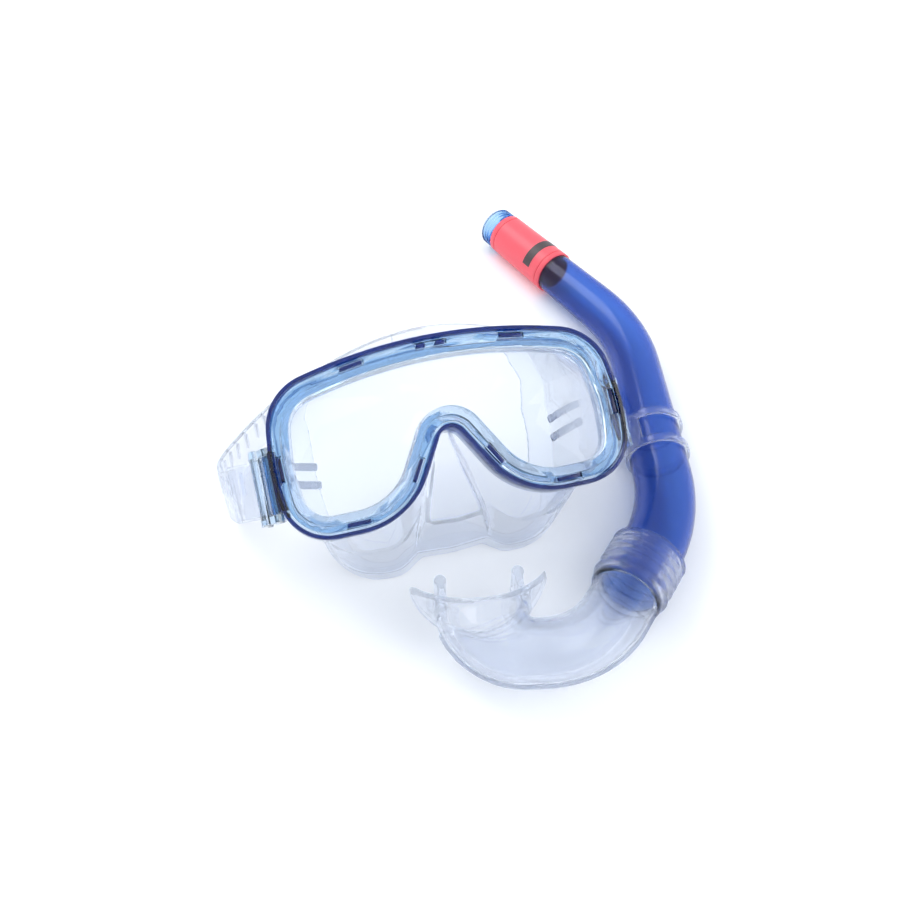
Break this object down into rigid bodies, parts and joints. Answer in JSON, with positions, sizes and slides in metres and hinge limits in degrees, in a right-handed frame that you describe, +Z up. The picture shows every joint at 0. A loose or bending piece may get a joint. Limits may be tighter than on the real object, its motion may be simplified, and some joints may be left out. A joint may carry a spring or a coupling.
{
  "type": "snorkel mask",
  "caption": "Clear diving mask with a one-piece lens in a blue frame, soft skirt, ribbed head strap and buckles, and a curved blue snorkel tube with a clear mouthpiece held by a soft keeper.",
  "frame": {"origin": "bottom centre of the set's bounding box, as it lies on a table", "axes": "+Z up, +X to the right as seen from the lens side, -Y towards the snorkel's mouthpiece; the lens faces -Y and up"},
  "size_m": [0.2044, 0.2788, 0.083],
  "materials": {
    "frame_blue": "glossy translucent blue",
    "clear_hard": "glossy clear",
    "lens": "polished clear",
    "clear_soft": "satin clear",
    "tube_blue": "glossy translucent blue",
    "tip_blue": "glossy translucent light blue",
    "band_red": "bright red, slightly translucent",
    "pin_steel": "plain"
  },
  "bodies": {
    "mask": {"main_frame": "frame_blue", "retaining_ring": "clear_hard", "lens": "lens", "face_skirt": "clear_soft", "strap": "clear_soft", "buckle_pin_left": "pin_steel", "buckle_pin_right": "pin_steel"},
    "left_buckle": {"buckle_left": "clear_hard", "roller_pin_left": "pin_steel"},
    "right_buckle": {"buckle_right": "clear_hard", "roller_pin_right": "pin_steel"},
    "left_roller": {"strap_roller_left": "clear_hard"},
    "right_roller": {"strap_roller_right": "clear_hard"},
    "keeper": {"snorkel_keeper": "clear_soft"},
    "snorkel": {"barrel": "tube_blue", "barrel_tip": "tip_blue", "visibility_band": "band_red"},
    "mouthpiece": {"mouthpiece": "clear_soft"}
  },
  "joints": [
    {"name": "left_buckle_swivel", "type": "hinge", "parent": "mask", "child": "left_buckle", "pos_m": [-0.07303, -0.06705, 0.04412], "axis": [-0.2241, 0.8365, 0.5], "range_deg": [-20, 20], "deforming": ["strap"]},
    {"name": "right_buckle_swivel", "type": "hinge", "parent": "mask", "child": "right_buckle", "pos_m": [0.0622, -0.03082, 0.04412], "axis": [-0.2241, 0.8365, 0.5], "range_deg": [-20, 20], "deforming": ["strap"]},
    {"name": "left_roller_spin", "type": "hinge", "parent": "left_buckle", "child": "left_roller", "pos_m": [-0.07889, -0.06449, 0.03719], "axis": [-0.2241, 0.8365, 0.5], "continuous": true},
    {"name": "right_roller_spin", "type": "hinge", "parent": "right_buckle", "child": "right_roller", "pos_m": [0.066, -0.02566, 0.03719], "axis": [-0.2241, 0.8365, 0.5], "continuous": true},
    {"name": "keeper_slide", "type": "slide", "parent": "mask", "child": "keeper", "axis": [0.0342, -0.8815, 0.4709], "range_m": [-0.002, 0.002]},
    {"name": "snorkel_turn", "type": "hinge", "parent": "keeper", "child": "snorkel", "pos_m": [0.08765, -0.02207, 0.01431], "axis": [-0.0523, 0.9984, -0.0227], "range_deg": [-5, 25]},
    {"name": "mouthpiece_turn", "type": "hinge", "parent": "snorkel", "child": "mouthpiece", "pos_m": [0.06638, -0.09918, 0.01606], "axis": [0.5299, 0.8478, -0.0192], "range_deg": [-10, 35]}
  ]
}
